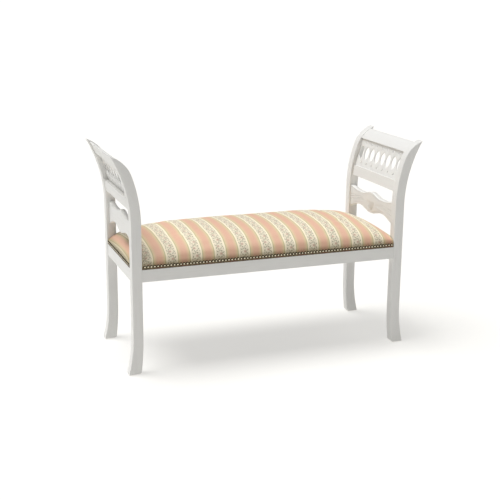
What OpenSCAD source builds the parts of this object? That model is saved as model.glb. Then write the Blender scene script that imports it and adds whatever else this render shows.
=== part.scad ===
// Upholstered piano bench with out-scrolled arms.
// Origin: centre of the footprint on the floor. +X runs along the bench, -Y is the front, +Z is up.
// The bench is the same left and right, and the same front and rear.

/* [Overall] */
// Length over the straight part of the posts
leg_span = 1020; // [960:10:1100]
// Depth over the posts
depth = 418; // [400:2:450]
// Height of the arm tips above the floor
arm_height = 765; // [755:1:775]
// How far each arm tip leans out past the straight part of its post
arm_overhang = 63; // [56:1:68]

/* [Posts] */
// Width of a post, seen from the front
post_w = 35; // [34:0.5:37]
// Thickness of the board that a post is cut from
post_t = 34; // [32:0.5:36]
// Height at which the post starts to curve outwards
arm_curve_start = 530; // [520:1:535]
// How far the foot flares outwards
foot_flare = 18; // [12:1:22]
// Height over which the foot flares
foot_flare_h = 140; // [120:5:170]

/* [Rails] */
// Height of the top of the seat rails
rail_top = 375; // [370:1:380]
// Height of the seat rails themselves
rail_h = 43; // [42:1:46]
// Thickness of the seat rails
rail_t = 22; // [20:1:24]
// How far the seat rails stand back from the posts' outer faces
rail_setback = 1.5; // [1:0.5:2]

/* [Arms] */
// Height of the underside of the crest rail
crest_bottom = 722; // [720:1:726]
// Height of the top of the crest rail
crest_top = 756; // [753:1:758]
// Height of the underside of the middle rail
mid_bottom = 577; // [574:1:580]
// Height of the top of the middle rail
mid_top = 616; // [614:1:618]
// Thickness of the pierced gallery panel
gallery_t = 4; // [3:0.5:6]
// Number of pierced openings in each gallery
gallery_openings = 8; // [6:1:9]
// Thickness of the serpentine splat
splat_t = 20; // [18:1:22]

/* [Seat] */
// Height of the seat's crown above the rails
seat_rise = 96; // [90:1:100]
// Thickness of the seat frame's members
frame_h = 15; // [14:1:16]
// Width of the seat frame's members
frame_w = 48; // [44:1:56]
// Thickness of the seat cover
cover_t = 2; // [1.5:0.5:2.5]
// Diameter of a decorative nail's head
nail_d = 11; // [10:0.5:11]
// Distance from one decorative nail to the next
nail_pitch = 11.5; // [11.2:0.1:12.5]

/* [Hidden] */
$fn = 48;

paint = "white";
raw_wood = "burlywood";
steel = "silver";
bronze = "saddlebrown";

half_span = leg_span / 2;
half_depth = depth / 2;
arm_reach = half_depth - post_t;        // from the middle of an arm to a post's inner face
inner_span = half_span - post_w;        // from the middle of the bench to a post's inner edge

// Curve of the arm: one big arc for the outer edge, and its parallel for the inner edge,
// which turns sharply at its top to meet the outer edge in a point.
arm_rise = arm_height - arm_curve_start;
arm_r = (arm_rise * arm_rise + arm_overhang * arm_overhang) / (2 * arm_overhang);
arm_sweep = asin(arm_rise / arm_r);
inner_sweep = 19.3;
tip = [half_span + arm_overhang, arm_height];
nose_start = [
    half_span + arm_r - (arm_r + post_w) * cos(inner_sweep),
    arm_curve_start + (arm_r + post_w) * sin(inner_sweep)
];
nose_chord = norm(tip - nose_start);
nose_lean = atan2(tip[0] - nose_start[0], tip[1] - nose_start[1]);
nose_r = nose_chord / (2 * sin(nose_lean - inner_sweep));
nose_end = 2 * nose_lean - inner_sweep;
nose_centre = nose_start + nose_r * [cos(inner_sweep), -sin(inner_sweep)];

// Foot
glide_h = 3;
glide_r = 9;
foot_corner_r = 9;
foot_inner_flare = 9;
foot_drop = foot_flare_h - glide_h;

// Arm parts, measured back from the inner edge of the posts
crest_setback = 2;
crest_back_gap = 4;
mid_setback = 8;
mid_back_gap = 3;
gallery_setback = 12;
groove = 5;
splat_setback = 4;
tenon_l = 15;
tenon_t = 10;

// Splat outline, heights above the floor
splat_end_top = 535;
splat_waist_top = 526.5;
splat_hump = 540;
splat_hump_half = 72;
splat_flat_to = 105;
splat_low = 458.5;
splat_waist_low = 474;
splat_end_low = 451;
splat_waist_at = 88;

// Seat
seat_x = half_span - rail_setback;
seat_y = half_depth - rail_setback;
frame_top = rail_top + frame_h;
web_t = 1.5;
foam_bottom = frame_top + 2 * web_t;
nail_rise = 3;
clear = 0.5;

// Corner blocks and screws
block_leg = 60;
block_h = 30;
screw_r = 2;
screw_head_r = 4;
screw_head_h = 2.5;
screw_l = 30;

function arc(centre, r, a0, a1, n) =
    [for (i = [0:n]) let (a = a0 + (a1 - a0) * i / n) centre + r * [cos(a), sin(a)]];

// Edge of a post at height z, while it is on its big arc
function inner_edge(z, setback = 0) =
    half_span + arm_r - sqrt(pow(arm_r + post_w - setback, 2) - pow(max(z - arm_curve_start, 0), 2));
function outer_edge(z, gap = 0) =
    half_span + arm_r - sqrt(pow(arm_r + gap, 2) - pow(max(z - arm_curve_start, 0), 2));

// ---- placing helpers ----

// Extrudes an outline drawn in X and Z from y0 to y1
module along_y(y0, y1) {
    translate([0, y1, 0])
        rotate([90, 0, 0])
            linear_extrude(height = y1 - y0)
                children();
}

// Puts a piece made for the right side on the side that is asked for: 1 right, -1 left
module on_side(side) {
    mirror([side < 0 ? 1 : 0, 0, 0])
        children();
}

// Puts a piece made for the front on the face that is asked for: 1 front, -1 rear
module on_face(face) {
    mirror([0, face < 0 ? 1 : 0, 0])
        children();
}

module at_four_corners() {
    for (side = [1, -1])
        for (face = [1, -1])
            on_side(side) on_face(face) children();
}

// ---- posts ----

function foot_r(flare, drop) = (drop * drop + flare * flare) / (2 * flare);

module post_outline() {
    outer_r = foot_r(foot_flare, foot_drop);
    inner_r = foot_r(foot_inner_flare, foot_drop);
    inner_x = half_span - post_w;
    corner_z = glide_h + foot_corner_r;
    inner_turn = asin((foot_flare_h - corner_z) / inner_r);
    corner_x = inner_x + inner_r * (1 - cos(inner_turn)) + foot_corner_r;
    polygon(concat(
        arc([half_span + outer_r, foot_flare_h], outer_r, 180 + asin(foot_drop / outer_r), 180, 8),
        arc([half_span + arm_r, arm_curve_start], arm_r, 180, 180 - arm_sweep, 16),
        arc(nose_centre, nose_r, 180 - nose_end + 4, 180 - inner_sweep, 12),
        arc([half_span + arm_r, arm_curve_start], arm_r + post_w, 180 - inner_sweep + 2, 180, 9),
        arc([inner_x + inner_r, foot_flare_h], inner_r, 180, 180 + inner_turn, 7),
        arc([corner_x, corner_z], foot_corner_r, 180, 270, 6)
    ));
}

module post(side, face) {
    color(paint)
        on_side(side) on_face(face)
            difference() {
                along_y(-half_depth, -arm_reach) post_outline();
                front_rail_tenon();
                side_rail_tenon();
                crest_tenon();
                mid_tenon();
                splat_tenon();
            }
}

// ---- seat rails ----

rail_mid_z = rail_top - rail_h / 2;
tenon_h = rail_h - 13;

// Tenon at the right end of the front rail
module front_rail_tenon() {
    translate([inner_span, -half_depth + rail_setback + rail_t / 2 - tenon_t / 2, rail_mid_z - tenon_h / 2])
        cube([tenon_l, tenon_t, tenon_h]);
}

// Tenon at the front end of the right rail
module side_rail_tenon() {
    translate([half_span - rail_setback - rail_t / 2 - tenon_t / 2, -arm_reach - tenon_l + 1, rail_mid_z - tenon_h / 2])
        cube([tenon_t, tenon_l - 1, tenon_h]);
}

module front_rail(face) {
    color(paint)
        on_face(face)
            difference() {
                union() {
                    translate([-inner_span, -half_depth + rail_setback, rail_top - rail_h])
                        cube([2 * inner_span, rail_t, rail_h]);
                    for (side = [1, -1])
                        on_side(side) front_rail_tenon();
                }
                for (side = [1, -1])
                    on_side(side) front_block_screw();
            }
}

module side_rail(side) {
    color(paint)
        on_side(side)
            difference() {
                union() {
                    translate([half_span - rail_setback - rail_t, -arm_reach, rail_top - rail_h])
                        cube([rail_t, 2 * arm_reach, rail_h]);
                    for (face = [1, -1])
                        on_face(face) side_rail_tenon();
                }
                for (face = [1, -1])
                    on_face(face) side_block_screw();
            }
}

// ---- arms ----

crest_start = asin((crest_bottom - nose_centre[1]) / (nose_r - crest_setback));
crest_stop = asin((crest_top - nose_centre[1]) / (nose_r - crest_setback));
crest_back_top = crest_top - 1;
crest_back_bottom = crest_bottom - 6;
crest_tenon_at = [half_span + 27, crest_bottom + 12];
crest_tenon = [9, 18];
crest_lean = 38;
mid_lean = asin(((mid_bottom + mid_top) / 2 - arm_curve_start) / (arm_r + post_w));
mid_tenon_at = [
    (inner_edge(mid_bottom) + mid_setback + outer_edge(mid_top) - mid_back_gap) / 2,
    (mid_bottom + mid_top) / 2 - 3
];
mid_tenon_h = 18;

module crest_outline() {
    polygon(concat(
        arc(nose_centre, nose_r - crest_setback, 180 - crest_start, 180 - crest_stop, 8),
        [for (i = [0:6])
            let (z = crest_back_top + (crest_back_bottom - crest_back_top) * i / 6)
                [outer_edge(z, crest_back_gap), z]]
    ));
}

// Tenon at the front end of the right crest rail
module crest_tenon() {
    along_y(-arm_reach - tenon_l, -arm_reach)
        translate(crest_tenon_at) rotate(-crest_lean) square(crest_tenon, center = true);
}

module crest_rail(side) {
    color(paint)
        on_side(side)
            difference() {
                union() {
                    along_y(-arm_reach, arm_reach) crest_outline();
                    for (face = [1, -1])
                        on_face(face) crest_tenon();
                }
                gallery_blank(1);
            }
}

module mid_outline() {
    polygon([
        [inner_edge(mid_bottom) + mid_setback, mid_bottom],
        [outer_edge(mid_bottom) - mid_back_gap, mid_bottom],
        [outer_edge(mid_top) - mid_back_gap, mid_top],
        [inner_edge(mid_top) + mid_setback, mid_top]
    ]);
}

// Tenon at the front end of the right middle rail
module mid_tenon() {
    along_y(-arm_reach - tenon_l, -arm_reach)
        translate(mid_tenon_at) rotate(-mid_lean) square([tenon_t, mid_tenon_h], center = true);
}

module middle_rail(side) {
    color(paint)
        on_side(side)
            difference() {
                union() {
                    along_y(-arm_reach, arm_reach) mid_outline();
                    for (face = [1, -1])
                        on_face(face) mid_tenon();
                }
                gallery_blank(1);
            }
}

// Pierced gallery: a flat board that leans with the arm, held in grooves above and below
gallery_foot = [inner_edge(mid_top) + gallery_setback, mid_top - 3];
gallery_head = [half_span + 11, crest_bottom - 16];
gallery_lean = atan2(gallery_head[0] - gallery_foot[0], gallery_head[1] - gallery_foot[1]);
gallery_h = (crest_bottom - 3 - gallery_foot[1]) / cos(gallery_lean);
gallery_mid = gallery_h / 2 + 4;
opening_pitch = 2 * arm_reach / gallery_openings;
opening_w = opening_pitch * 0.80;
opening_h = gallery_h * 0.47;
opening_r = (opening_h * opening_h + opening_w * opening_w) / (4 * opening_w);
triangle_from_mid = gallery_h * 0.355;
triangle_r = 6;

module in_gallery_plane() {
    translate([gallery_foot[0], 0, gallery_foot[1]])
        rotate([0, gallery_lean, 0])
            children();
}

// The gallery before it is pierced. Its grooves are cut with one that reaches past the rails' ends
module gallery_blank(past = 0) {
    in_gallery_plane()
        translate([0, -arm_reach - past, -groove])
            cube([gallery_t, 2 * (arm_reach + past), gallery_h + 2 * groove]);
}

// A pointed opening, from two arcs
module pointed_opening(y) {
    intersection() {
        for_arc(y, 1);
        for_arc(y, -1);
    }
}

module for_arc(y, way) {
    translate([-1, y + way * (opening_r - opening_w / 2), gallery_mid])
        rotate([0, 90, 0])
            cylinder(r = opening_r, h = gallery_t + 2, $fn = 96);
}

// A small three-cornered hole. It points down with way = -1, and up with way = 1
module triangle_hole(y, way) {
    translate([-1, y, gallery_mid - way * triangle_from_mid])
        rotate([0, 90, 0])
            rotate([0, 0, way > 0 ? 180 : 0])
                cylinder(r = triangle_r, h = gallery_t + 2, $fn = 3);
}

module gallery(side) {
    color(paint)
        on_side(side)
            difference() {
                gallery_blank();
                in_gallery_plane() {
                    for (i = [0:gallery_openings - 1])
                        pointed_opening((i + 0.5) * opening_pitch - arm_reach);
                    for (i = [1:gallery_openings - 1])
                        for (way = [1, -1])
                            triangle_hole(i * opening_pitch - arm_reach, way);
                }
            }
}

// Height of the splat's top edge at a distance y from its middle
function splat_top(y) =
    abs(y) < splat_hump_half
        ? splat_waist_top + (splat_hump - splat_waist_top) * (1 + cos(180 * y / splat_hump_half)) / 2
        : abs(y) < splat_flat_to
            ? splat_waist_top
            : splat_waist_top + (splat_end_top - splat_waist_top)
                * pow(sin(90 * (abs(y) - splat_flat_to) / (arm_reach - splat_flat_to)), 2);

// Height of its lower edge
function splat_bottom(y) =
    abs(y) < splat_waist_at
        ? splat_low + (splat_waist_low - splat_low) * (1 - cos(180 * y / splat_waist_at)) / 2
        : splat_waist_low - (splat_waist_low - splat_end_low)
            * (1 - cos(90 * (abs(y) - splat_waist_at) / (arm_reach - splat_waist_at)));

splat_steps = 44;
splat_face = inner_span + splat_setback;

module splat_outline() {
    polygon(concat(
        [for (i = [0:splat_steps])
            let (y = -arm_reach + 2 * arm_reach * i / splat_steps) [y, splat_bottom(y)]],
        [for (i = [0:splat_steps])
            let (y = arm_reach - 2 * arm_reach * i / splat_steps) [y, splat_top(y)]]
    ));
}

// Tenon at the front end of the right splat
module splat_tenon() {
    translate([splat_face + (splat_t - tenon_t) / 2, -arm_reach - tenon_l, splat_waist_low])
        cube([tenon_t, tenon_l, splat_waist_top - splat_waist_low]);
}

module splat(side) {
    color(paint)
        on_side(side) {
            translate([splat_face, 0, 0])
                rotate([90, 0, 90])
                    linear_extrude(height = splat_t)
                        splat_outline();
            for (face = [1, -1])
                on_face(face) splat_tenon();
        }
}

// ---- corner blocks, screws and glides ----

block_x = half_span - rail_setback - rail_t;      // inner face of a side rail
block_y = half_depth - rail_setback - rail_t;     // inner face of the front rail
block_screw_z = rail_top - 13;
front_screw_x = inner_span - 35;
side_screw_y = arm_reach - 35;
seat_screw_at = [inner_span - 11, -arm_reach + 11];
block_wall = 15;
seat_screw_seat = rail_top - 20;

// A screw along +Z, with the underside of its head at z = 0 and its head below
module screw(l) {
    cylinder(r = screw_r, h = l);
    translate([0, 0, -screw_head_h])
        cylinder(r1 = screw_head_r - 1, r2 = screw_head_r, h = screw_head_h);
}

module screw_room(l) {
    cylinder(r = screw_r, h = l);
    translate([0, 0, -40])
        cylinder(r = screw_head_r + 0.5, h = 40);
}

module at_front_screw() {
    translate([front_screw_x, -block_y + block_wall, block_screw_z])
        rotate([90, 0, 0])
            children();
}

module at_side_screw() {
    translate([block_x - block_wall, -side_screw_y, block_screw_z])
        rotate([0, 90, 0])
            children();
}

module at_seat_screw() {
    translate([seat_screw_at[0], seat_screw_at[1], seat_screw_seat])
        children();
}

module front_block_screw() {
    at_front_screw() screw(screw_l);
}

module side_block_screw() {
    at_side_screw() screw(screw_l);
}

module seat_screw() {
    at_seat_screw() screw(screw_l + 2);
}

module corner_blocks() {
    color(raw_wood)
        at_four_corners()
            difference() {
                translate([0, 0, rail_top - block_h])
                    linear_extrude(height = block_h)
                        polygon([
                            [inner_span - block_leg, -block_y],
                            [inner_span, -block_y],
                            [inner_span, -arm_reach],
                            [block_x, -arm_reach],
                            [block_x, -arm_reach + block_leg]
                        ]);
                at_front_screw() screw_room(screw_l);
                at_side_screw() screw_room(screw_l);
                at_seat_screw() screw_room(screw_l + 2);
            }
}

module corner_block_screws() {
    color(steel)
        at_four_corners() {
            front_block_screw();
            side_block_screw();
        }
}

module seat_fixing_screws() {
    color(steel)
        at_four_corners()
            seat_screw();
}

glide_x = half_span - 4;
glide_y = half_depth - post_t / 2;

module foot_glides() {
    color("dimgray")
        at_four_corners()
            translate([glide_x, -glide_y, 0])
                cylinder(r = glide_r, h = glide_h);
}

// ---- seat ----

// Inner edge of the fabric at a post
notch_x = inner_span - clear;
notch_y = arm_reach - clear;

module post_notches(grow) {
    at_four_corners()
        translate([notch_x - grow, -half_depth - 5, rail_top - 1])
            cube([100, half_depth + 5 - notch_y + grow, seat_rise + 40]);
}

module seat_frame_front(face) {
    color(raw_wood)
        on_face(face)
            difference() {
                translate([-(notch_x - cover_t), -seat_y + cover_t, rail_top])
                    cube([2 * (notch_x - cover_t), frame_w, frame_h]);
                for (side = [1, -1])
                    on_side(side) seat_screw();
            }
}

module seat_frame_side(side) {
    inner_y = seat_y - cover_t - frame_w;
    outer_y = notch_y - cover_t;
    color(raw_wood)
        on_side(side)
            translate([0, 0, rail_top])
                linear_extrude(height = frame_h)
                    polygon([
                        [seat_x - cover_t, -outer_y],
                        [seat_x - cover_t, outer_y],
                        [notch_x - cover_t, outer_y],
                        [notch_x - cover_t, inner_y],
                        [seat_x - cover_t - frame_w, inner_y],
                        [seat_x - cover_t - frame_w, -inner_y],
                        [notch_x - cover_t, -inner_y],
                        [notch_x - cover_t, -outer_y]
                    ]);
}

web_w = 60;
webs_across = 7;
webs_along = 3;

module seat_webbing() {
    across_pitch = 2 * (seat_x - 30) / webs_across;
    along_pitch = 2 * (seat_y - 30) / webs_along;
    color("darkkhaki") {
        for (i = [0:webs_along - 1])
            translate([-seat_x + 20, -seat_y + 30 + (i + 0.5) * along_pitch - web_w / 2, frame_top])
                cube([2 * seat_x - 40, web_w, web_t]);
        for (i = [0:webs_across - 1])
            translate([-seat_x + 30 + (i + 0.5) * across_pitch - web_w / 2, -seat_y + 20, frame_top + web_t])
                cube([web_w, 2 * seat_y - 40, web_t]);
    }
}

// How flat the dome is in its middle, and how steeply it meets the seat frame, lengthways and across
dome_along = [8, 1.03];
dome_across = [1.95, 0.325];

// Outline of the domed seat in one direction. It is drawn from z0 up
module dome_outline(half, rise, z0, shape, steps) {
    polygon(concat(
        [[-half, z0]],
        [for (i = [0:steps])
            let (t = sin(90 * (2 * i / steps - 1)))
                [half * t, frame_top + rise * pow(1 - pow(abs(t), shape[0]), shape[1])]],
        [[half, z0]]
    ));
}

// The domed block of the seat, taken in by the given amount
module seat_block(inset, z0) {
    rise = seat_rise - frame_h - inset;
    difference() {
        intersection() {
            along_y(-seat_y + inset, seat_y - inset)
                dome_outline(seat_x - inset, rise, z0, dome_along, 24);
            translate([-seat_x + inset, 0, 0])
                rotate([90, 0, 90])
                    linear_extrude(height = 2 * (seat_x - inset))
                        dome_outline(seat_y - inset, rise, z0, dome_across, 24);
        }
        post_notches(inset);
    }
}

module seat_foam() {
    color("lightyellow")
        difference() {
            seat_block(cover_t, rail_top);
            translate([-half_span, -half_depth, 0])
                cube([leg_span, depth, foam_bottom]);
        }
}

module seat_cover() {
    color("wheat")
        difference() {
            seat_block(0, rail_top);
            seat_block(cover_t, rail_top - 5);
        }
}

dust_t = 1;
dust_cut = 70;

module dust_cover() {
    x = block_x - 6;
    y = block_y - 6;
    color("black")
        translate([0, 0, rail_top - dust_t])
            linear_extrude(height = dust_t)
                polygon([
                    [-x, -y + dust_cut], [-x + dust_cut + 12, -y], [x - dust_cut - 12, -y], [x, -y + dust_cut],
                    [x, y - dust_cut], [x - dust_cut - 12, y], [-x + dust_cut + 12, y], [-x, y - dust_cut]
                ]);
}

// Decorative nails: a domed head standing on the cover, pointing along -Y
nail_dome_r = (nail_rise * nail_rise + nail_d * nail_d / 4) / (2 * nail_rise);
nail_z = rail_top + 10;

module nail_head() {
    intersection() {
        translate([0, nail_dome_r - nail_rise, 0])
            sphere(r = nail_dome_r);
        rotate([90, 0, 0])
            cylinder(r = nail_d, h = nail_rise);
    }
}

module nail_row(half) {
    count = floor((2 * half - 4) / nail_pitch);
    for (i = [0:count - 1])
        translate([(i - (count - 1) / 2) * nail_pitch, 0, nail_z])
            nail_head();
}

module front_nail_row(face) {
    color(bronze)
        on_face(face)
            translate([0, -seat_y, 0])
                nail_row(notch_x);
}

module side_nail_row(side) {
    color(bronze)
        on_side(side)
            translate([seat_x, 0, 0])
                rotate([0, 0, 90])
                    nail_row(notch_y);
}

post(-1, 1);  // front_left_post
post(1, 1);  // front_right_post
post(-1, -1);  // rear_left_post
post(1, -1);  // rear_right_post
front_rail(1);  // front_seat_rail
front_rail(-1);  // rear_seat_rail
side_rail(-1);  // left_seat_rail
side_rail(1);  // right_seat_rail
crest_rail(-1);  // left_crest_rail
crest_rail(1);  // right_crest_rail
gallery(-1);  // left_gallery
gallery(1);  // right_gallery
middle_rail(-1);  // left_middle_rail
middle_rail(1);  // right_middle_rail
splat(-1);  // left_splat
splat(1);  // right_splat
corner_blocks();
corner_block_screws();
seat_fixing_screws();
foot_glides();
seat_frame_front(1);
seat_frame_front(-1);  // seat_frame_rear
seat_frame_side(-1);  // seat_frame_left
seat_frame_side(1);  // seat_frame_right
seat_webbing();
seat_foam();
seat_cover();
dust_cover();
front_nail_row(1);  // front_nails
front_nail_row(-1);  // rear_nails
side_nail_row(-1);  // left_nails
side_nail_row(1);  // right_nails
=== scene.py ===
import math
import random

import bmesh
import bpy
import numpy as np
from mathutils import Matrix, Vector, noise


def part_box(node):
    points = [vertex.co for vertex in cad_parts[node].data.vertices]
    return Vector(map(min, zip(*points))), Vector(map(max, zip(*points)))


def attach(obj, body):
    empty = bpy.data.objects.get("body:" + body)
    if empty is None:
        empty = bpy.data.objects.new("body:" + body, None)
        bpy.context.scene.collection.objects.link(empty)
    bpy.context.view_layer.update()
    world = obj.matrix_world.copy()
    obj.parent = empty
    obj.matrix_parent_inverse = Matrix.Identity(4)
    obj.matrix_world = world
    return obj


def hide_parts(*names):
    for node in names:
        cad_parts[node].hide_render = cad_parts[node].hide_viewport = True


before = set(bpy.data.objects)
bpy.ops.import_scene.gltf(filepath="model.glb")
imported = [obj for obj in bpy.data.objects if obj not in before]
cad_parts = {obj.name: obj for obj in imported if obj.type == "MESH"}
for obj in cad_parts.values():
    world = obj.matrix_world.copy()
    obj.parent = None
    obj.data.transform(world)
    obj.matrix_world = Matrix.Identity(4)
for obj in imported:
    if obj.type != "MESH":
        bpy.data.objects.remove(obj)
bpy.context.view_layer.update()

# ---------------------------------------------------------------------------
# Sizes, in metres. Those of the wooden parts are read from the frame.
# ---------------------------------------------------------------------------

MM = 0.001

_, rail_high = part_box("front_seat_rail")
post_low, post_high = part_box("front_right_post")
splat_low, splat_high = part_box("right_splat")
_, cover_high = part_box("seat_cover")
_, dust_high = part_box("dust_cover")
_, frame_member_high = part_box("seat_frame_front")

RAIL_TOP = rail_high.z
ARM_REACH = -post_high.y                       # from the middle of an arm to a post's inner face
SEAT_X = cover_high.x
SEAT_Y = cover_high.y
NOTCH_X = frame_member_high.x + 2 * MM         # inner edge of the fabric beside a post
NOTCH_Y = ARM_REACH - 0.5 * MM
FRAME_TOP = frame_member_high.z                # where the foam starts

# The seat's dome: its rise, and how flat it is in the middle and steep at the edge
DOME_RISE = 80.5 * MM
DOME_ALONG = (8.0, 1.03)
DOME_ACROSS = (1.95, 0.325)
DOME_START = 2 * MM                            # how much smaller it is before it swells
SWELL_CAP = 3.5 * MM                           # how far the cloth simulation may move it outwards
SINK_CAP = 1 * MM                              # and inwards
SWELL_FRAMES = 20
FABRIC_STEP = 6.5 * MM

# The fabric
REPEAT = 87 * MM
PINK_AT = 21.5 * MM                            # middle of a pink stripe, from the middle of the seat
STRIPE_PULL = 1.4                              # how strongly the shoulders draw the stripes in

# Nails
NAIL_R = 5.5 * MM
NAIL_RISE = 3 * MM
NAIL_PITCH = 11.5 * MM
NAIL_Z = RAIL_TOP + 10 * MM

EASE = 1.6 * MM                                # radius of the wood's eased edges

# ---------------------------------------------------------------------------
# Camera
# ---------------------------------------------------------------------------

CAMERA_AT = (-1.2554, -3.3524, 1.3245)
CAMERA_YAW, CAMERA_PITCH, CAMERA_ROLL = (math.radians(a) for a in (20.351, 15.206, 0.515))
CAMERA_LENS = 71.89                            # millimetres, on a 36 mm sensor


def place_camera():
    across = Vector((math.cos(CAMERA_YAW), -math.sin(CAMERA_YAW), 0))
    ahead = Vector((
        math.sin(CAMERA_YAW) * math.cos(CAMERA_PITCH),
        math.cos(CAMERA_YAW) * math.cos(CAMERA_PITCH),
        -math.sin(CAMERA_PITCH),
    ))
    upright = across.cross(ahead)
    x = across * math.cos(CAMERA_ROLL) + upright * math.sin(CAMERA_ROLL)
    y = upright * math.cos(CAMERA_ROLL) - across * math.sin(CAMERA_ROLL)
    turn = Matrix((x, y, -ahead)).transposed().to_4x4()
    data = bpy.data.cameras.new("camera")
    data.sensor_width = 36
    data.lens = CAMERA_LENS
    data.clip_end = 400
    camera = bpy.data.objects.new("camera", data)
    bpy.context.scene.collection.objects.link(camera)
    camera.matrix_world = Matrix.Translation(CAMERA_AT) @ turn
    bpy.context.scene.camera = camera


# ---------------------------------------------------------------------------
# Node materials, written as arithmetic
# ---------------------------------------------------------------------------


class Wire:
    """A number in a node tree. Arithmetic on it adds math nodes."""

    def __init__(self, tree, socket):
        self.tree = tree
        self.socket = socket

    def math(self, kind, *others):
        node = self.tree.nodes.new("ShaderNodeMath")
        node.operation = kind
        for entry, value in zip(node.inputs, (self, *others)):
            feed(self.tree, value, entry)
        return Wire(self.tree, node.outputs[0])

    def __add__(self, other):
        return self.math("ADD", other)

    def __sub__(self, other):
        return self.math("SUBTRACT", other)

    def __rsub__(self, other):
        return (self * -1) + other

    def __mul__(self, other):
        return self.math("MULTIPLY", other)

    def __truediv__(self, other):
        return self.math("DIVIDE", other)

    def __abs__(self):
        return self.math("ABSOLUTE")

    def fract(self):
        return self.math("FRACT")

    def floor(self):
        return self.math("FLOOR")

    def sin(self):
        return self.math("SINE")

    def cos(self):
        return self.math("COSINE")

    def root(self):
        return self.math("SQRT")

    def high(self, other):
        return self.math("MAXIMUM", other)

    def low(self, other):
        return self.math("MINIMUM", other)

    def ramp(self, start, end):
        """0 at start, 1 at end, and smooth between them."""
        node = self.tree.nodes.new("ShaderNodeMapRange")
        node.interpolation_type = "SMOOTHSTEP"
        feed(self.tree, self, node.inputs["Value"])
        node.inputs["From Min"].default_value = start
        node.inputs["From Max"].default_value = end
        return Wire(self.tree, node.outputs["Result"])


def feed(tree, value, entry):
    if isinstance(value, Wire):
        tree.links.new(value.socket, entry)
    elif isinstance(value, bpy.types.NodeSocket):
        tree.links.new(value, entry)
    elif entry.type == "RGBA" and not hasattr(value, "__len__"):
        entry.default_value = (value, value, value, 1)
    elif entry.type == "RGBA":
        entry.default_value = (*value, 1)
    else:
        entry.default_value = value


def new_material(name, **fixed):
    """A material with a Principled shader. The named inputs are set on the shader itself."""
    material = bpy.data.materials.new(name)
    material.use_nodes = True
    tree = material.node_tree
    shader = tree.nodes["Principled BSDF"]
    for key, value in fixed.items():
        shader.inputs[key.replace("_", " ")].default_value = value
    return material, tree, shader


def place_of(tree):
    """The point on the object, which is also its place in the row frame, as three wires and a vector."""
    node = tree.nodes.new("ShaderNodeTexCoord")
    split = tree.nodes.new("ShaderNodeSeparateXYZ")
    tree.links.new(node.outputs["Object"], split.inputs[0])
    return [Wire(tree, s) for s in split.outputs], node.outputs["Object"]


def fabric_place(tree):
    """The point on the flat fabric, in metres: across the stripes and along them."""
    node = tree.nodes.new("ShaderNodeUVMap")
    node.uv_map = "fabric"
    split = tree.nodes.new("ShaderNodeSeparateXYZ")
    tree.links.new(node.outputs["UV"], split.inputs[0])
    return Wire(tree, split.outputs[0]), Wire(tree, split.outputs[1])


def vector(tree, x, y, z):
    node = tree.nodes.new("ShaderNodeCombineXYZ")
    for entry, value in zip(node.inputs, (x, y, z)):
        feed(tree, value, entry)
    return node.outputs[0]


def grain(tree, at, scale, detail=3.0, roughness=0.55):
    """Soft noise from 0 to 1."""
    node = tree.nodes.new("ShaderNodeTexNoise")
    tree.links.new(at, node.inputs["Vector"])
    node.inputs["Scale"].default_value = scale
    node.inputs["Detail"].default_value = detail
    node.inputs["Roughness"].default_value = roughness
    return Wire(tree, node.outputs["Fac"])


def blend(tree, share, a, b, kind="MIX"):
    """The colour a where share is 0, and b where it is 1. With MULTIPLY, a is dyed with b."""
    node = tree.nodes.new("ShaderNodeMix")
    node.data_type = "RGBA"
    node.blend_type = kind
    feed(tree, share, node.inputs[0])
    feed(tree, a, node.inputs[6])
    feed(tree, b, node.inputs[7])
    return node.outputs[2]


def bump(tree, shader, height, depth):
    """Height from 0 to 1 stands depth metres high."""
    node = tree.nodes.new("ShaderNodeBump")
    node.inputs["Strength"].default_value = 1.0
    node.inputs["Distance"].default_value = depth
    feed(tree, height, node.inputs["Height"])
    tree.links.new(node.outputs["Normal"], shader.inputs["Normal"])


def near(tree, distance, inside):
    """How open the surface is: low in a crevice, or with inside, low on an edge."""
    node = tree.nodes.new("ShaderNodeAmbientOcclusion")
    node.samples = 6
    node.inside = inside
    node.inputs["Distance"].default_value = distance
    return Wire(tree, node.outputs["AO"])


PAINT = (0.805, 0.80, 0.775)
PAINT_DEEP = (0.62, 0.59, 0.53)
PAINT_WORN = (0.70, 0.64, 0.55)
# colour of the painted shade in crevices
CREVICE_SHADE_TONE = (0.34, 0.32, 0.28)


def paint_material(grain_axis):
    """Satin white lacquer on beech, whose grain runs along the given axis: 0, 1 or 2."""
    material, tree, shader = new_material("white_paint_" + "xyz"[grain_axis])
    (x, y, z), at = place_of(tree)
    squeeze = [1.0, 1.0, 1.0]
    squeeze[grain_axis] = 0.06
    stretched = vector(tree, x * squeeze[0], y * squeeze[1], z * squeeze[2])
    pores = grain(tree, stretched, 900, 2)
    figure = grain(tree, stretched, 120, 3)
    clouds = grain(tree, at, 14, 3)
    skin = grain(tree, at, 420, 2)
    # painted shade: darker in crevices, grooves and holes, found by occlusion
    crevice_shade = near(tree, 6 * MM, False).ramp(0.78, 0.30)
    edge = near(tree, 1.6 * MM, True).ramp(0.72, 0.35)
    rubbed = edge * grain(tree, at, 60, 4, 0.7).ramp(0.56, 0.72)
    tone = blend(tree, clouds.ramp(0.35, 0.7) * 0.5, PAINT, [c * 0.975 for c in PAINT])
    tone = blend(tree, figure.ramp(0.52, 0.75) * 0.16, tone, PAINT_DEEP)
    tone = blend(tree, crevice_shade * 0.42, tone, CREVICE_SHADE_TONE)
    tone = blend(tree, rubbed * 0.35, tone, PAINT_WORN)
    feed(tree, tone, shader.inputs["Base Color"])
    feed(tree, clouds * 0.14 + skin * 0.1 + rubbed * 0.15 + 0.30, shader.inputs["Roughness"])
    bump(tree, shader, pores * 0.35 + figure * 0.35 + skin * 0.3, 0.00012)
    return material


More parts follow.
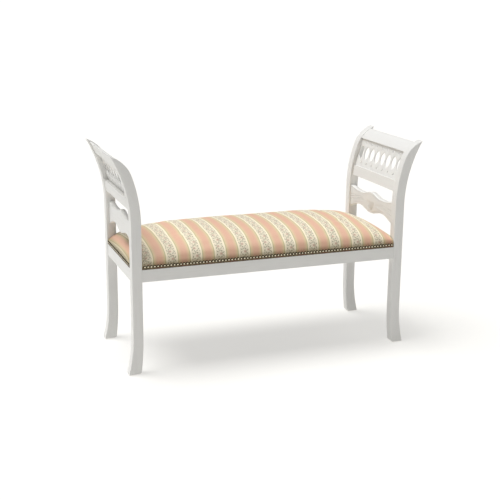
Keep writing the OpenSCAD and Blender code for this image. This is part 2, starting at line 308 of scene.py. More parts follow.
def beech_material():
    """Unfinished beech: pale brown, with fine darker flecks along the grain."""
    material, tree, shader = new_material("raw_beech")
    (x, y, z), at = place_of(tree)
    along = vector(tree, x * 0.08, y * 0.5, z)
    rings = ((z + grain(tree, along, 30, 2) * 0.012) * 900).sin() * 0.5 + 0.5
    flecks = grain(tree, vector(tree, x * 0.18, y * 0.6, z), 1400, 1).ramp(0.60, 0.70)
    fibre = grain(tree, vector(tree, x * 0.05, y, z), 700, 3)
    tone = blend(tree, rings * 0.5, (0.60, 0.42, 0.26), (0.50, 0.33, 0.19))
    tone = blend(tree, flecks * 0.6, tone, (0.30, 0.17, 0.09))
    tone = blend(tree, grain(tree, at, 9, 3).ramp(0.4, 0.8) * 0.3, tone, (0.68, 0.50, 0.33))
    feed(tree, tone, shader.inputs["Base Color"])
    feed(tree, fibre * 0.25 + 0.55, shader.inputs["Roughness"])
    bump(tree, shader, fibre + flecks * 0.3, 0.0002)
    return material


def steel_material():
    """Zinc-plated screws: fine turning marks and a dull bloom."""
    material, tree, shader = new_material("zinc_steel", Metallic=1.0)
    (x, y, z), at = place_of(tree)
    bloom = grain(tree, at, 240, 4)
    scratches = grain(tree, vector(tree, x * 3, y, z * 0.4), 2600, 2)
    tone = blend(tree, bloom.ramp(0.35, 0.7), (0.62, 0.61, 0.58), (0.50, 0.48, 0.42))
    feed(tree, tone, shader.inputs["Base Color"])
    feed(tree, bloom * 0.3 + scratches * 0.15 + 0.15, shader.inputs["Roughness"])
    bump(tree, shader, scratches, 0.00005)
    return material


def bronze_material():
    """Antiqued bronze nails: rubbed bright at the crown, with a dark rim. The bright crown is partly a
    painted highlight, and the dark rim partly painted shade.
    """
    material, tree, shader = new_material("antique_bronze", Metallic=0.85)
    node = tree.nodes.new("ShaderNodeUVMap")
    node.uv_map = "nail"
    split = tree.nodes.new("ShaderNodeSeparateXYZ")
    tree.links.new(node.outputs["UV"], split.inputs[0])
    out, kind = Wire(tree, split.outputs[0]), Wire(tree, split.outputs[1])
    _, at = place_of(tree)
    spots = grain(tree, at, 700, 3)
    # bright crown and dark rim: partly wear, partly painted highlight and painted shade
    wear_and_highlight = (out + spots * 0.3 - 0.15 + kind * 0.08).ramp(0.70, 0.34)
    tone = blend(tree, wear_and_highlight, (0.035, 0.024, 0.012), (0.88, 0.79, 0.58))
    feed(tree, tone, shader.inputs["Base Color"])
    feed(tree, 0.50 - wear_and_highlight * 0.24 + spots * 0.12, shader.inputs["Roughness"])
    bump(tree, shader, spots, 0.00015)
    return material


def plastic_material():
    """Moulded nylon glides, scuffed where they slide."""
    material, tree, shader = new_material("glide_plastic", Roughness=0.5)
    (x, y, z), at = place_of(tree)
    scuffs = grain(tree, vector(tree, x * 0.3, y, z), 1500, 3).ramp(0.52, 0.68)
    speckle = grain(tree, at, 2500, 2)
    tone = blend(tree, scuffs * z.ramp(0.0012, 0.0) * 0.8, (0.66, 0.64, 0.58), (0.36, 0.33, 0.28))
    feed(tree, tone, shader.inputs["Base Color"])
    feed(tree, scuffs * 0.25 + speckle * 0.12 + 0.38, shader.inputs["Roughness"])
    bump(tree, shader, speckle * 0.5 + scuffs * 0.5, 0.00008)
    return material


def jute_material():
    """Plain-woven jute straps."""
    material, tree, shader = new_material("jute_webbing", Roughness=0.9)
    (x, y, z), at = place_of(tree)
    pick = 2 * math.pi / (2.4 * MM)
    weave = (x * pick).sin() * (y * pick).sin() * 0.5 + 0.5
    fuzz = grain(tree, at, 900, 4)
    tone = blend(tree, weave, (0.30, 0.22, 0.12), (0.52, 0.41, 0.25))
    feed(tree, blend(tree, fuzz.ramp(0.5, 0.8) * 0.5, tone, (0.60, 0.50, 0.33)), shader.inputs["Base Color"])
    bump(tree, shader, weave * 0.7 + fuzz * 0.3, 0.0006)
    return material


def dust_cloth_material():
    """Black spun-bonded cloth: matted fibres and a grid of tiny pressed dots."""
    material, tree, shader = new_material("dust_cloth", Roughness=0.85)
    (x, y, z), at = place_of(tree)
    pitch = 2 * math.pi / (1.8 * MM)
    dots = ((x + y) * pitch).sin() * ((x - y) * pitch).sin()
    fibres = grain(tree, vector(tree, x, y * 0.4, z), 900, 5, 0.7)
    tone = blend(tree, fibres.ramp(0.35, 0.75), (0.012, 0.012, 0.013), (0.045, 0.045, 0.047))
    feed(tree, tone, shader.inputs["Base Color"])
    feed(tree, 0.92 - dots.ramp(0.3, 0.9) * 0.25, shader.inputs["Roughness"])
    bump(tree, shader, fibres * 0.6 - dots.ramp(0.2, 0.9) * 0.5, 0.0004)
    return material


# Colours of the fabric's yarns
CREAM = (0.96, 0.87, 0.66)
BAND = (0.88, 0.80, 0.63)
PINK = (0.775, 0.455, 0.315)
BEIGE = (0.75, 0.57, 0.34)
OLIVE = (0.56, 0.51, 0.27)
LEAF = (0.25, 0.23, 0.13)
ROSE = (0.56, 0.34, 0.25)

# Leaves in one cell of the vine, in millimetres and radians: place, half length, half width, turn
LEAVES = (
    (-11.5, -7.0, 4.6, 1.7, 1.1), (-12.5, 5.0, 4.4, 1.6, -0.9), (5.5, -9.5, 4.2, 1.6, 0.4),
    (11.0, -2.5, 4.4, 1.7, -1.2), (10.0, 9.0, 4.4, 1.6, 0.8), (3.0, 10.5, 3.8, 1.4, -0.5),
    (-5.0, 11.5, 3.8, 1.5, 0.5), (-4.5, -12.5, 3.8, 1.4, -0.4), (14.5, -11.0, 3.0, 1.3, 0.3),
)


def blob(u, v, u0, v0, long, wide, turn):
    """Inside an ellipse below 1. It is centred on u0, v0 and turned by the given angle."""
    du, dv = u - u0, v - v0
    c, s = math.cos(turn), math.sin(turn)
    a = (du * c + dv * s) / long
    b = (dv * c - du * s) / wide
    return (a * a + b * b).root()


def damask_material():
    """Woven stripes: a satin pink stripe between beige and olive edges, thin cream lines,
    and a band with a climbing vine of roses and leaves."""
    material, tree, shader = new_material("striped_damask", Sheen_Weight=0.25, Sheen_Roughness=0.45)
    u, v = fabric_place(tree)
    (x, y, z), at = place_of(tree)
    drift = grain(tree, at, 7, 2) * 0.004 - 0.002
    place = (u + drift - PINK_AT) / REPEAT
    from_pink = abs((place + 0.5).fract() - 0.5)
    from_band = place.fract() - 0.5

    # the vine, one rose to a cell
    cell = 30 * MM
    row = (v / cell).floor()
    along = (v / cell).fract() * cell - cell / 2
    off = from_band * REPEAT
    stem_at = (v * (math.pi / cell)).sin() * (8 * MM)
    stem = abs(off - stem_at).ramp(1.4 * MM, 0.5 * MM)
    side = (row * 0.5).fract() * 4 - 1
    rose_u = side * (-3.0 * MM)
    du, dv = off - rose_u, along
    reach = (du * du + dv * dv).root()
    angle = dv.math("ARCTAN2", du)
    rose = (reach - (angle * 5).cos() * (0.8 * MM)).ramp(5.0 * MM, 4.2 * MM)
    heart = reach.ramp(2.0 * MM, 1.2 * MM)
    petals = ((angle * 5).sin() * 0.5 + (reach * 2200).sin() * 0.5).ramp(-0.2, 0.8)
    mirrored = off * side
    leaves = None
    for leaf_u, leaf_v, long, wide, turn in LEAVES:
        one = blob(mirrored, along, leaf_u * MM, leaf_v * MM, long * MM, wide * MM, turn)
        leaves = leaves.low(one) if leaves else one
    leaf = leaves.ramp(1.10, 0.80)
    sprig = grain(tree, vector(tree, u, v, 0.3), 420, 2, 0.6)

    # threads
    warp = (u * (2 * math.pi / (0.55 * MM))).sin()
    weft = (v * (2 * math.pi / (0.70 * MM))).sin()
    threads = warp * weft * 0.5 + 0.5
    slub = grain(tree, vector(tree, u, v * 0.03, 0.0), 900, 2)
    twill = ((u * 0.6 + v) * (2 * math.pi / (1.1 * MM))).sin() * 0.5 + 0.5

    band = blend(tree, sprig.ramp(0.50, 0.62) * 0.60, BAND, (0.50, 0.42, 0.27))
    band = blend(tree, stem * 0.7, band, LEAF)
    band = blend(tree, leaf * 0.88, band, blend(tree, threads, LEAF, (0.42, 0.38, 0.24)))
    flower = blend(tree, petals * 0.5, ROSE, (0.80, 0.64, 0.50))
    band = blend(tree, rose * 0.8, band, flower)
    band = blend(tree, heart * 0.8, band, (0.42, 0.30, 0.20))
    figured = stem.high(leaf).high(rose)

    stripe = blend(tree, from_pink.ramp(0.070, 0.205), PINK, BEIGE)
    stripe = blend(tree, from_pink.ramp(0.212, 0.242), stripe, OLIVE)
    in_line = from_pink.ramp(0.256, 0.266)
    in_band = from_pink.ramp(0.316, 0.326)
    tone = blend(tree, in_line, stripe, CREAM)
    tone = blend(tree, in_band, tone, band)
    tone = blend(tree, slub.ramp(0.45, 0.75) * 0.12, tone, (0.45, 0.36, 0.24))
    tone = blend(tree, threads * 0.10, tone, (0.95, 0.88, 0.74))
    # painted shade: darker towards the bottom, where the cushion's front turns down
    lower_shade = z.ramp(FRAME_TOP + 34 * MM, RAIL_TOP + 8 * MM)
    tone = blend(tree, lower_shade * 0.18, tone, (0.66, 0.60, 0.48), "MULTIPLY")
    # painted shade: a dark band just above the nails, under the bulge of the cushion
    tuck_shade = z.ramp(FRAME_TOP + 18 * MM, FRAME_TOP - 1 * MM)
    tone = blend(tree, tuck_shade * 0.70, tone, (0.34, 0.29, 0.18), "MULTIPLY")
    # painted shade: darker from the nails' centre line down to the rail
    hem = z.ramp(NAIL_Z + 3 * MM, NAIL_Z - 1 * MM)
    tone = blend(tree, hem * 0.85, tone, (0.34, 0.29, 0.22), "MULTIPLY")
    feed(tree, tone, shader.inputs["Base Color"])
    satin = in_line * -1 + 1
    feed(tree, 0.72 - satin * 0.17 + threads * 0.1, shader.inputs["Roughness"])

    # the pull of each nail on the fabric above it
    face_y = abs(y).ramp(NOTCH_Y, SEAT_Y - 8 * MM)
    turn = 2 * math.pi / NAIL_PITCH
    gather = (x * turn).cos() * face_y + (y * turn).cos() * (face_y * -1 + 1)
    pull = gather * z.ramp(FRAME_TOP + 16 * MM, FRAME_TOP - 4 * MM)
    weave = threads * 0.35 + (in_band * figured) * 0.9 + (twill * satin) * 0.2 + slub * 0.2
    bump(tree, shader, weave + pull * 5.0, 0.00022)
    return material


def floor_material():
    """A pale sweep of milk glass, lit from below so that shadows on it stay light."""
    material, tree, shader = new_material("studio_floor", Roughness=0.8, Emission_Strength=0.60)
    shader.inputs["Emission Color"].default_value = (1.0, 0.99, 0.96, 1)
    _, at = place_of(tree)
    clouds = grain(tree, at, 3, 2)
    tone = blend(tree, clouds * 0.3, (0.40, 0.395, 0.38), (0.39, 0.385, 0.37))
    feed(tree, tone, shader.inputs["Base Color"])
    return material


# ---------------------------------------------------------------------------
# Building helpers
# ---------------------------------------------------------------------------


def add_piece(name, data, material, slot, *nodes):
    """Puts a mesh in the scene as a piece of the bench that stands for the named CAD nodes."""
    piece = bpy.data.objects.new(name, data)
    bpy.context.scene.collection.objects.link(piece)
    data.materials.clear()
    data.materials.append(material)
    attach(piece, "root")
    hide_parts(*nodes)
    return piece


def shade(data, angle=35):
    """Smooth shading, with edges sharper than the angle kept crisp."""
    data.shade_smooth()
    data.set_sharp_from_angle(angle=math.radians(angle))


def cad_mesh(node):
    """A cleaned copy of a CAD node's mesh, in which flat areas are single faces."""
    work = bmesh.new()
    work.from_mesh(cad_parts[node].data)
    bmesh.ops.remove_doubles(work, verts=work.verts, dist=0.01 * MM)
    bmesh.ops.dissolve_limit(
        work, angle_limit=math.radians(0.4), use_dissolve_boundaries=False,
        verts=work.verts, edges=work.edges,
    )
    work.normal_update()
    return work


def ease(work, radius, keep_sharp=lambda a, b: False, steps=3):
    """Rounds the sharp outer edges, apart from those that keep_sharp names."""
    edges = [
        e for e in work.edges
        if len(e.link_faces) == 2
        and e.calc_face_angle_signed(0) > math.radians(38)
        and not keep_sharp(e.verts[0].co, e.verts[1].co)
    ]
    bmesh.ops.bevel(
        work, geom=edges, offset=radius, segments=steps, profile=0.5,
        affect="EDGES", clamp_overlap=True, miter_outer="ARC",
    )


def finished(work, name, angle=35):
    data = bpy.data.meshes.new(name)
    work.to_mesh(data)
    work.free()
    shade(data, angle)
    return data


def both_at(axis, level, tolerance=0.3 * MM):
    """True for an edge that lies in the plane at plus or minus level on that axis."""
    def test(a, b):
        return all(abs(abs(p[axis]) - level) < tolerance for p in (a, b))
    return test


# ---------------------------------------------------------------------------
# Wood
# ---------------------------------------------------------------------------


def build_post(node, material):
    """A post from its outline, with the long edges eased. Its mortises are hidden and left out."""
    source = cad_mesh(node)
    low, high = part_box(node)
    outer = low.y if low.y < 0 else high.y
    inner = high.y if low.y < 0 else low.y
    face = [f for f in source.faces if all(abs(v.co.y - outer) < 0.01 * MM for v in f.verts)]
    bmesh.ops.delete(source, geom=[f for f in source.faces if f not in face], context="FACES")
    bmesh.ops.dissolve_faces(source, faces=source.faces[:])
    grown = bmesh.ops.extrude_face_region(source, geom=source.faces[:], use_keep_orig=True)
    for v in (g for g in grown["geom"] if isinstance(g, bmesh.types.BMVert)):
        v.co.y = inner
    bmesh.ops.recalc_face_normals(source, faces=source.faces)
    ease(source, EASE)
    add_piece(node.replace("_post", "_post_board"), finished(source, node), material, "white_paint", node)


def build_rail(node, material, axis, level):
    """A rail from its CAD mesh, with its long edges eased and its shoulders left square."""
    work = cad_mesh(node)
    at_end = both_at(axis, level)

    def keep(a, b):
        beyond = all(abs(p[axis]) > level - 0.3 * MM for p in (a, b))
        return beyond or at_end(a, b) or (a - b).length < 20 * MM
    ease(work, EASE, keep)
    add_piece(node + "_wood", finished(work, node), material, "white_paint", node)


def build_gallery(node, material):
    """The pierced panel, with the rims of its openings lightly eased."""
    work = cad_mesh(node)
    ease(work, 0.8 * MM, both_at(1, ARM_REACH), steps=2)
    add_piece(node + "_fretwork", finished(work, node, 40), material, "white_paint", node)


# The splat's outline, heights above the floor
SPLAT_END_TOP, SPLAT_WAIST_TOP, SPLAT_HUMP = 535 * MM, 526.5 * MM, 540 * MM
SPLAT_HUMP_HALF, SPLAT_FLAT_TO, SPLAT_WAIST_AT = 72 * MM, 105 * MM, 88 * MM
SPLAT_LOW, SPLAT_WAIST_LOW, SPLAT_END_LOW = 458.5 * MM, 474 * MM, 451 * MM
SPLAT_ROUND = 3 * MM


def splat_top(y):
    y = abs(y)
    if y < SPLAT_HUMP_HALF:
        share = (1 + math.cos(math.pi * y / SPLAT_HUMP_HALF)) / 2
        return SPLAT_WAIST_TOP + (SPLAT_HUMP - SPLAT_WAIST_TOP) * share
    if y < SPLAT_FLAT_TO:
        return SPLAT_WAIST_TOP
    share = math.sin(math.pi / 2 * (y - SPLAT_FLAT_TO) / (ARM_REACH - SPLAT_FLAT_TO)) ** 2
    return SPLAT_WAIST_TOP + (SPLAT_END_TOP - SPLAT_WAIST_TOP) * share


def splat_bottom(y):
    y = abs(y)
    if y < SPLAT_WAIST_AT:
        share = (1 - math.cos(math.pi * y / SPLAT_WAIST_AT)) / 2
        return SPLAT_LOW + (SPLAT_WAIST_LOW - SPLAT_LOW) * share
    share = 1 - math.cos(math.pi / 2 * (y - SPLAT_WAIST_AT) / (ARM_REACH - SPLAT_WAIST_AT))
    return SPLAT_WAIST_LOW - (SPLAT_WAIST_LOW - SPLAT_END_LOW) * share


def hollow(distance, half_width):
    """The depth of a rounded groove, from 1 on its line to 0 at its edge."""
    t = min(abs(distance) / half_width, 1)
    return (1 - t * t) ** 2


FAN_FOOT = 465 * MM
FAN_HEIGHT = 44 * MM
FAN_HALF = 27 * MM
FAN_RIBS = 3                                   # on each side of the middle one


def carving(y, z):
    """How far the carved face stands back, in metres."""
    inset = min(z - splat_bottom(y), splat_top(y) - z)
    depth = 1.3 * MM * hollow(inset - 7 * MM, 1.8 * MM)
    # a fan of ribs that opens upwards from its foot
    rise = (z - FAN_FOOT) / FAN_HEIGHT
    if 0 < rise < 1:
        fade = min(1, rise * 5) * min(1, (1 - rise) * 5)
        for k in range(-FAN_RIBS, FAN_RIBS + 1):
            line = k / FAN_RIBS * FAN_HALF * (0.25 + 0.75 * math.sin(math.pi / 2 * rise))
            depth += 2.2 * MM * fade * hollow(y - line, 2.4 * MM)
    # a moulding across its foot
    across = max(0, min(1, (FAN_HALF + 6 * MM - abs(y)) / (5 * MM)))
    depth += 1.8 * MM * across * hollow(z - FAN_FOOT + 1 * MM, 2.2 * MM)
    # sprays: three curved grooves from each end towards the fan
    for k, level in enumerate((-13 * MM, -3 * MM, 8 * MM)):
        start, stop = 44 * MM + 9 * MM * abs(k - 1), ARM_REACH - 4 * MM
        if start < abs(y) < stop:
            t = (abs(y) - start) / (stop - start)
            middle = (splat_top(y) + splat_bottom(y)) / 2 + level * (0.25 + 0.75 * t)
            fade = math.sin(math.pi * min(1, t * 1.25 + 0.08)) ** 0.5 if t < 0.72 else 1
            depth += 1.8 * MM * fade * hollow(z - middle, 2.4 * MM)
    return depth


def build_splat(side, material):
    """The serpentine splat, with its carved face towards the seat."""
    node = "right_splat" if side > 0 else "left_splat"
    face, back = splat_low.x, splat_high.x
    count_y = 340
    count_z = 84
    verts, faces = [], []

    def lip(inset):
        gap = max(0, SPLAT_ROUND - inset)
        return SPLAT_ROUND - math.sqrt(SPLAT_ROUND ** 2 - gap ** 2)

    for front in (True, False):
        for i in range(count_y + 1):
            y = -ARM_REACH + 2 * ARM_REACH * i / count_y
            low, high = splat_bottom(y), splat_top(y)
            for j in range(count_z + 1):
                share = (1 - math.cos(math.pi * j / count_z)) / 2
                z = low + (high - low) * (0.35 * share + 0.65 * j / count_z)
                inset = min(z - low, high - z)
                if front:
                    x = face + lip(inset) + carving(y, z) * min(1, inset / (3 * MM))
                else:
                    x = back - lip(inset)
                verts.append((side * x, y, z))
    across = count_z + 1
    layer = (count_y + 1) * across

    def quad(a, b, c, d):
        faces.append((a, b, c, d) if side > 0 else (d, c, b, a))

    for i in range(count_y):
        for j in range(count_z):
            a = i * across + j
            quad(a, a + 1, a + across + 1, a + across)
            b = a + layer
            quad(b, b + across, b + across + 1, b + 1)
        for j in (0, count_z):
            a, b = i * across + j, (i + 1) * across + j
            if j:
                quad(a, a + layer, b + layer, b)
            else:
                quad(b, b + layer, a + layer, a)
    for i in (0, count_y):
        for j in range(count_z):
            a = i * across + j
            if i:
                quad(a, a + 1, a + 1 + layer, a + layer)
            else:
                quad(a + layer, a + 1 + layer, a + 1, a)
    data = bpy.data.meshes.new(node)
    data.from_pydata(verts, [], faces)
    shade(data, 50)
    add_piece(node + "_carved", data, material, "white_paint", node)


# ---------------------------------------------------------------------------
# Seat
# ---------------------------------------------------------------------------


def spaced(inner, outer, profile):
    """Places from 0 to outer, evenly spaced along the profile's curve, with one exactly at inner."""
    fine = outer * np.sin(np.linspace(0, math.pi / 2, 4001))
    length = np.concatenate([[0], np.cumsum(np.hypot(np.diff(fine), np.diff([profile(f) for f in fine])))])

    def steps(a, b):
        la, lb = np.interp([a, b], fine, length)
        count = max(1, round((lb - la) / FABRIC_STEP))
        return list(np.interp(np.linspace(la, lb, count + 1), length, fine))
    return steps(0, inner)[:-1] + steps(inner, outer)


def dome_along(x):
    return (1 - min(1, abs(x) / SEAT_X) ** DOME_ALONG[0]) ** DOME_ALONG[1]


def dome_across(y):
    return (1 - min(1, abs(y) / SEAT_Y) ** DOME_ACROSS[0]) ** DOME_ACROSS[1]


def cover_mesh():
    """The sewn shape of the cover, with each point's place on the flat fabric."""
    rise = DOME_RISE - DOME_START
    half_x = spaced(NOTCH_X, SEAT_X, lambda x: rise * dome_along(x))
    half_y = spaced(NOTCH_Y, SEAT_Y, lambda y: rise * dome_across(y))
    xs = [-x for x in half_x[:0:-1]] + half_x
    ys = [-y for y in half_y[:0:-1]] + half_y
    height = np.array([[FRAME_TOP + rise * dome_along(x) * dome_across(y) for y in ys] for x in xs])
    gx, gy = np.array(xs)[:, None], np.array(ys)[None, :]

    def walked(places, axis):
        run = np.hypot(np.diff(places, axis=axis), np.diff(height, axis=axis))
        total = np.concatenate([np.zeros_like(height.take([0], axis)), np.cumsum(run, axis=axis)], axis=axis)
        return total - total.take([height.shape[axis] // 2], axis)

    u = walked(np.broadcast_to(gx, height.shape), 0)
    u = gx + STRIPE_PULL * (u - gx)
    v = walked(np.broadcast_to(gy, height.shape), 1)

    work = bmesh.new()
    flat = work.loops.layers.uv.new("fabric")
    grid, spot = {}, {}
    for i in range(len(xs)):
        for j in range(len(ys)):
            in_notch = abs(xs[i]) > NOTCH_X + 0.01 * MM and abs(ys[j]) > NOTCH_Y + 0.01 * MM
            if not in_notch:
                grid[i, j] = work.verts.new((xs[i], ys[j], height[i, j]))
                spot[grid[i, j]] = (u[i, j], v[i, j])
    for i in range(len(xs) - 1):
        for j in range(len(ys) - 1):
            corners = [(i, j), (i + 1, j), (i + 1, j + 1), (i, j + 1)]
            if all(c in grid for c in corners):
                face = work.faces.new([grid[c] for c in corners])
                for loop in face.loops:
                    loop[flat].uv = spot[loop.vert]

    # the sides, which hang from the rim to the rails
    rim = [e for e in work.edges if len(e.link_faces) == 1]
    hem = RAIL_TOP + 0.3 * MM
    rows = 6
    columns = {}
    for vert in {v for e in rim for v in e.verts}:
        columns[vert] = [vert] + [
            work.verts.new((vert.co.x, vert.co.y, vert.co.z + (hem - vert.co.z) * k / rows))
            for k in range(1, rows + 1)
        ]
    for edge in rim:
        loop = edge.link_loops[0]
        a, b = loop.vert, loop.link_loop_next.vert
        runs_along_y = abs(a.co.x - b.co.x) < abs(a.co.y - b.co.y)
        for k in range(rows):
            quad = [columns[b][k], columns[a][k], columns[a][k + 1], columns[b][k + 1]]
            face = work.faces.new(quad)
            for corner, top in zip(face.loops, (b, a, a, b)):
                down = top.co.z - corner.vert.co.z
                pu, pv = spot[top]
                if runs_along_y:
                    pu += math.copysign(down, top.co.x)
                else:
                    pv += math.copysign(down, top.co.y)
                corner[flat].uv = (pu, pv)
    bmesh.ops.recalc_face_normals(work, faces=work.faces)
    data = bpy.data.meshes.new("seat_cushion")
    work.to_mesh(data)
    work.free()
    return data


def swell(piece):
    """Blows the cover up with cloth simulation, held where it is nailed to the seat frame."""
    rest = np.array([v.co for v in piece.data.vertices])
    held = piece.vertex_groups.new(name="held")
    for i, p in enumerate(rest):
        near_rim = (p[2] - FRAME_TOP) / (10 * MM)
        weight = max(0.0, min(1.0, 1 - near_rim)) if abs(p[2] - RAIL_TOP) > 0.5 * MM else 1.0
        in_notch = abs(p[0]) > NOTCH_X - 1 * MM and abs(p[1]) > NOTCH_Y - 1 * MM
        held.add([i], max(weight, 0.92 if in_notch else 0.0), "REPLACE")
    cloth = piece.modifiers.new("swell", "CLOTH")
    settings = cloth.settings
    settings.quality = 6
    settings.mass = 0.35
    settings.tension_stiffness = settings.compression_stiffness = 22
    settings.shear_stiffness = 12
    settings.bending_stiffness = 1.2
    settings.use_pressure = True
    settings.uniform_pressure_force = 4
    settings.vertex_group_mass = "held"
    settings.effector_weights.gravity = 0
    cloth.collision_settings.use_collision = False
    cloth.point_cache.frame_start, cloth.point_cache.frame_end = 1, SWELL_FRAMES
    scene = bpy.context.scene
    for n in range(1, SWELL_FRAMES + 1):
        scene.frame_set(n)
    blown = piece.evaluated_get(bpy.context.evaluated_depsgraph_get())
    moved = np.array([v.co for v in blown.data.vertices]) - rest
    piece.modifiers.remove(cloth)
    piece.vertex_groups.clear()
    scene.frame_set(1)
    # only movement along the normal counts, and the foam underneath lets the cover sink very little
    normals = np.array([v.normal for v in piece.data.vertices])
    out = (moved * normals).sum(axis=1, keepdims=True)
    kept = np.where(out > 0, SWELL_CAP * np.tanh(out / SWELL_CAP), SINK_CAP * np.tanh(out / SINK_CAP))
    piece.data.vertices.foreach_set("co", (rest + kept * normals).astype(np.float32).ravel())


def settle(piece):
    """Brings the crown to its height, and adds the slight unevenness of hand-laid padding."""
    data = piece.data
    co = np.array([v.co for v in data.vertices])
    crown = co[:, 2].max()
    goal = FRAME_TOP + DOME_RISE
    for p in co:
        if p[2] > FRAME_TOP:
            share = (p[2] - FRAME_TOP) / (crown - FRAME_TOP)
            p[2] = FRAME_TOP + share * (goal - FRAME_TOP)
            broad = noise.noise(Vector((p[0] * 9, p[1] * 9, 0.7)))
            fine = noise.noise(Vector((p[0] * 22, p[1] * 22, 3.1)))
            p[2] += (broad + 0.5 * fine) * 1.3 * MM * min(1, share * 2)
    data.vertices.foreach_set("co", co.astype(np.float32).ravel())


def build_seat(material):
    data = cover_mesh()
    piece = add_piece("seat_cushion", data, material, "striped_damask", "seat_cover", "seat_foam")
    swell(piece)
    settle(piece)
    smooth = piece.modifiers.new("finer", "SUBSURF")
    smooth.levels = smooth.render_levels = 1
    smooth.boundary_smooth = "PRESERVE_CORNERS"
    fine = bpy.data.meshes.new_from_object(piece.evaluated_get(bpy.context.evaluated_depsgraph_get()))
    piece.modifiers.remove(smooth)
    piece.data = fine
    fine.name = "seat_cushion"
    fine.shade_smooth()


# ---------------------------------------------------------------------------
# Nails, screws, glides and dust cover
# ---------------------------------------------------------------------------

NAIL_RINGS = 5
NAIL_SIDES = 16


def nail_profile():
    """Distance from the centre and height of each ring of a nail's head, from the crown down."""
    dome = (NAIL_RISE ** 2 + NAIL_R ** 2) / (2 * NAIL_RISE)
    reach = math.asin(NAIL_R / dome)
    rings = []
    for k in range(1, NAIL_RINGS + 1):
        a = reach * k / NAIL_RINGS
        rings.append((dome * math.sin(a), NAIL_RISE - dome * (1 - math.cos(a))))
    rings.append((NAIL_R * 0.97, -0.5 * MM))
    return rings


def build_nails(node, centres, outward, material):
    """A row of domed nails, each a little tilted as it was driven by hand."""
    chance = random.Random(node)
    verts, faces, marks = [], [], []
    rings = nail_profile()
    for centre in centres:
        tilt = Vector((chance.gauss(0, 1), chance.gauss(0, 1), chance.gauss(0, 1))) * 0.035
        axis = (outward + tilt).normalized()
        side = axis.cross(Vector((0, 0, 1))).normalized()
        over = axis.cross(side)
        base = Vector(centre) - outward * chance.uniform(0, 0.25 * MM)
        kind = chance.random()
        first = len(verts)
        verts.append(base + axis * NAIL_RISE)
        marks.append((0, kind))
        for r, h in rings:
            for s in range(NAIL_SIDES):
                a = 2 * math.pi * s / NAIL_SIDES
                verts.append(base + axis * h + (side * math.cos(a) + over * math.sin(a)) * r)
                marks.append((r / NAIL_R, kind))
        for s in range(NAIL_SIDES):
            t = (s + 1) % NAIL_SIDES
            faces.append((first, first + 1 + s, first + 1 + t))
            for k in range(len(rings) - 1):
                a = first + 1 + k * NAIL_SIDES
                faces.append((a + s, a + NAIL_SIDES + s, a + NAIL_SIDES + t, a + t))
    data = bpy.data.meshes.new(node)
    data.from_pydata([tuple(v) for v in verts], [], faces)
    uv = data.uv_layers.new(name="nail")
    for loop in data.loops:
        uv.data[loop.index].uv = marks[loop.vertex_index]
    work = bmesh.new()
    work.from_mesh(data)
    bmesh.ops.recalc_face_normals(work, faces=work.faces)
    work.to_mesh(data)
    work.free()
    data.shade_smooth()
    add_piece(node + "_heads", data, material, "antique_bronze", node)


def nail_places(half):
    count = math.floor((2 * half - 4 * MM) / NAIL_PITCH)
    return [(i - (count - 1) / 2) * NAIL_PITCH for i in range(count)]


def build_all_nails(material):
    front = nail_places(NOTCH_X)
    side = nail_places(NOTCH_Y)
    build_nails("front_nails", [(x, -SEAT_Y, NAIL_Z) for x in front], Vector((0, -1, 0)), material)
    build_nails("rear_nails", [(x, SEAT_Y, NAIL_Z) for x in front], Vector((0, 1, 0)), material)
    build_nails("left_nails", [(-SEAT_X, y, NAIL_Z) for y in side], Vector((-1, 0, 0)), material)
    build_nails("right_nails", [(SEAT_X, y, NAIL_Z) for y in side], Vector((1, 0, 0)), material)


def lathe(work, centre, rings, sides=32):
    """Adds a turned shape: rings of (radius, height) from one end to the other."""
    loops = []
    for r, h in rings:
        loops.append([
            work.verts.new((
                centre[0] + r * math.cos(2 * math.pi * s / sides),
                centre[1] + r * math.sin(2 * math.pi * s / sides),
                centre[2] + h,
            ))
            for s in range(sides)
        ])
    work.faces.new(loops[0])
    work.faces.new(loops[-1])
    for a, b in zip(loops, loops[1:]):
        for s in range(sides):
            t = (s + 1) % sides
            work.faces.new((a[s], a[t], b[t], b[s]))


def build_glides(material):
    """Nailed plastic glides: a rounded disc with a recess for its pin's head."""
    low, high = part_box("foot_glides")
    r, h = 9 * MM, high.z - low.z
    work = bmesh.new()
    for sx in (-1, 1):
        for sy in (-1, 1):
            centre = (sx * (high.x - r), sy * (high.y - r), 0)
            lathe(work, centre, [
                (2.2 * MM, 0.9 * MM), (2.6 * MM, 0.15 * MM), (3.2 * MM, 0), (7.4 * MM, 0),
                (8.4 * MM, 0.3 * MM), (8.9 * MM, 1.0 * MM), (r, 1.8 * MM), (r, h),
            ])
    bmesh.ops.recalc_face_normals(work, faces=work.faces)
    add_piece("foot_glide_discs", finished(work, "foot_glides", 50), material, "glide_plastic", "foot_glides")


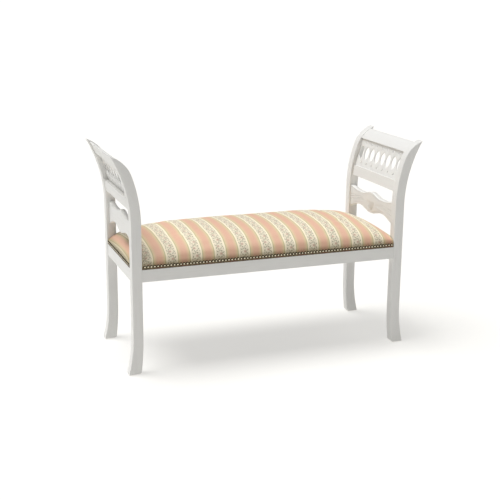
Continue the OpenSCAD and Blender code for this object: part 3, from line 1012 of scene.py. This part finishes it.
def build_dust_cover(material):
    """The black cloth under the seat. It sags a little between its staples."""
    cut_x, cut_y = 82 * MM, 70 * MM
    x1, y1 = dust_high.x, dust_high.y
    sag = 5 * MM
    work = bmesh.new()
    nx, ny = 96, 38
    grid = {}
    for i in range(nx + 1):
        for j in range(ny + 1):
            x, y = -x1 + 2 * x1 * i / nx, -y1 + 2 * y1 * j / ny
            # pulls the corners of the grid in to the slanted cut
            over = (abs(x) - x1) / cut_x + (abs(y) - y1) / cut_y + 1
            if over > 0:
                x -= math.copysign(over * cut_x / 2, x)
                y -= math.copysign(over * cut_y / 2, y)
            edge = max(0, min(x1 - abs(x), y1 - abs(y)))
            ripple = 0.5 * MM * math.sin(x * 70) * math.exp(-edge / (25 * MM))
            fall = sag * (1 - (x / x1) ** 4) * (1 - (y / y1) ** 2) + ripple * (edge > 1 * MM)
            grid[i, j] = work.verts.new((x, y, dust_high.z - 0.4 * MM - max(0, fall)))
    for i in range(nx):
        for j in range(ny):
            work.faces.new([grid[i, j], grid[i, j + 1], grid[i + 1, j + 1], grid[i + 1, j]])
    bmesh.ops.remove_doubles(work, verts=work.verts, dist=0.2 * MM)
    bmesh.ops.dissolve_degenerate(work, edges=work.edges, dist=0.05 * MM)
    data = finished(work, "dust_cover", 180)
    piece = add_piece("dust_cover_cloth", data, material, "dust_cloth", "dust_cover")


def give_material(material, *nodes):
    for node in nodes:
        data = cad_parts[node].data
        data.materials.clear()
        data.materials.append(material)


# ---------------------------------------------------------------------------
# Studio
# ---------------------------------------------------------------------------


def add_sun(name, towards_light, strength, spread, tint):
    data = bpy.data.lights.new(name, "SUN")
    data.energy = strength
    data.angle = math.radians(spread)
    data.color = tint
    lamp = bpy.data.objects.new(name, data)
    bpy.context.scene.collection.objects.link(lamp)
    lamp.rotation_mode = "QUATERNION"
    lamp.rotation_quaternion = Vector(towards_light).to_track_quat("Z", "Y")


def build_studio():
    data = bpy.data.meshes.new("studio_floor")
    far = 150.0
    data.from_pydata([(-far, -far, 0), (far, -far, 0), (far, far, 0), (-far, far, 0)], [], [(0, 1, 2, 3)])
    floor = bpy.data.objects.new("studio_floor", data)
    bpy.context.scene.collection.objects.link(floor)
    data.materials.append(floor_material())

    world = bpy.data.worlds.new("studio")
    bpy.context.scene.world = world
    world.use_nodes = True
    tree = world.node_tree
    back = tree.nodes["Background"]
    direction = tree.nodes.new("ShaderNodeTexCoord")
    split = tree.nodes.new("ShaderNodeSeparateXYZ")
    tree.links.new(direction.outputs["Generated"], split.inputs[0])
    height = Wire(tree, split.outputs[2])
    # the light comes from walls that are white low down and dim above, and the backdrop that the
    # camera sees is white all the way up
    walls = blend(tree, height.ramp(0.03, 0.08), (1.0, 1.0, 1.0), (0.10, 0.10, 0.105))
    seen = Wire(tree, tree.nodes.new("ShaderNodeLightPath").outputs["Is Camera Ray"])
    feed(tree, blend(tree, seen, walls, (1.0, 1.0, 1.0)), back.inputs["Color"])
    back.inputs["Strength"].default_value = 1.0
    add_sun("overhead", (-0.34, 0.13, 1.0), 3.2, 38, (1.0, 1.0, 1.0))
    add_sun("right_fill", (0.6, 0.2, 1.0), 0.4, 50, (1.0, 1.0, 1.0))
    bpy.context.scene.view_settings.view_transform = "Standard"


# ---------------------------------------------------------------------------
# The bench
# ---------------------------------------------------------------------------

place_camera()

paint_x, paint_y, paint_z = (paint_material(axis) for axis in range(3))

for corner in ("front_left", "front_right", "rear_left", "rear_right"):
    build_post(corner + "_post", paint_z)
for end in ("front", "rear"):
    build_rail(end + "_seat_rail", paint_x, 0, post_low.x)
for hand in ("left", "right"):
    build_rail(hand + "_seat_rail", paint_y, 1, ARM_REACH)
    build_rail(hand + "_crest_rail", paint_y, 1, ARM_REACH)
    build_rail(hand + "_middle_rail", paint_y, 1, ARM_REACH)
    build_gallery(hand + "_gallery", paint_z)
build_splat(1, paint_y)
build_splat(-1, paint_y)

build_seat(damask_material())
build_all_nails(bronze_material())
build_glides(plastic_material())
build_dust_cover(dust_cloth_material())
give_material(
    beech_material(),
    "corner_blocks", "seat_frame_front", "seat_frame_rear", "seat_frame_left", "seat_frame_right",
)
give_material(steel_material(), "corner_block_screws", "seat_fixing_screws")
give_material(jute_material(), "seat_webbing")

build_studio()
